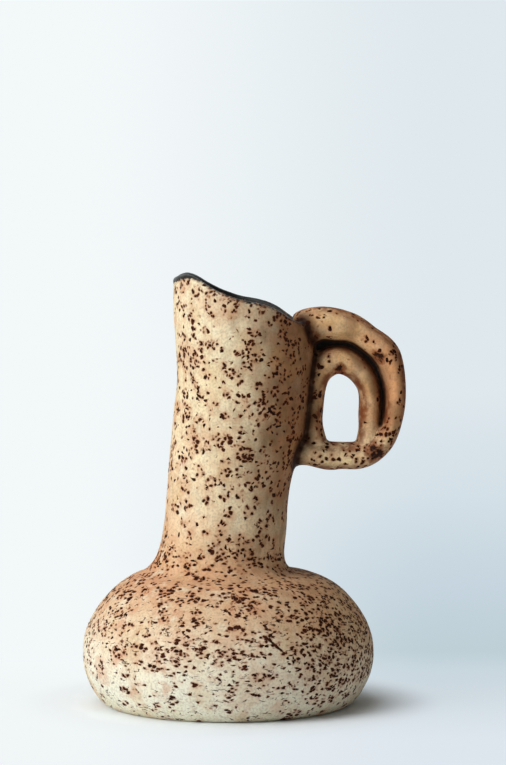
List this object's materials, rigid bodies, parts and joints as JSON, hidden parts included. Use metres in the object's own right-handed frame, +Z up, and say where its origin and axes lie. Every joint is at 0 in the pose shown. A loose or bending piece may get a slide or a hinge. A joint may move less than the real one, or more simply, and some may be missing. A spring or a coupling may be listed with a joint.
{
  "type": "jug",
  "caption": "Hand-built stoneware pouring jug with a squat round belly, a tall leaning neck, a slanted mouth and a double coil handle.",
  "frame": {"origin": "centre of the foot's underside", "axes": "+Z up through the belly, +X towards the handle, +Y across the jug, so that the spout is at -X"},
  "size_m": [0.1886, 0.1698, 0.2501],
  "materials": {
    "speckled_clay": "matt ochre stoneware with dark iron spots",
    "foot_clay": "bare fired clay, slightly worn",
    "groove_clay": "dark stained clay in the groove",
    "dark_glaze": "charcoal glaze, half matt"
  },
  "bodies": {
    "root": {"foot_slab": "foot_clay", "belly_bowl": "speckled_clay", "belly_shoulder": "speckled_clay", "neck_root_coil": "speckled_clay", "neck_lower": "speckled_clay", "neck_upper": "speckled_clay", "mouth_lip": "dark_glaze", "belly_glaze": "dark_glaze", "neck_glaze": "dark_glaze", "handle_outer_arch": "speckled_clay", "handle_root_lap": "speckled_clay", "handle_bottom_bar": "speckled_clay", "handle_inner_arch": "speckled_clay", "handle_web": "groove_clay", "handle_weld": "speckled_clay"}
  },
  "joints": []
}
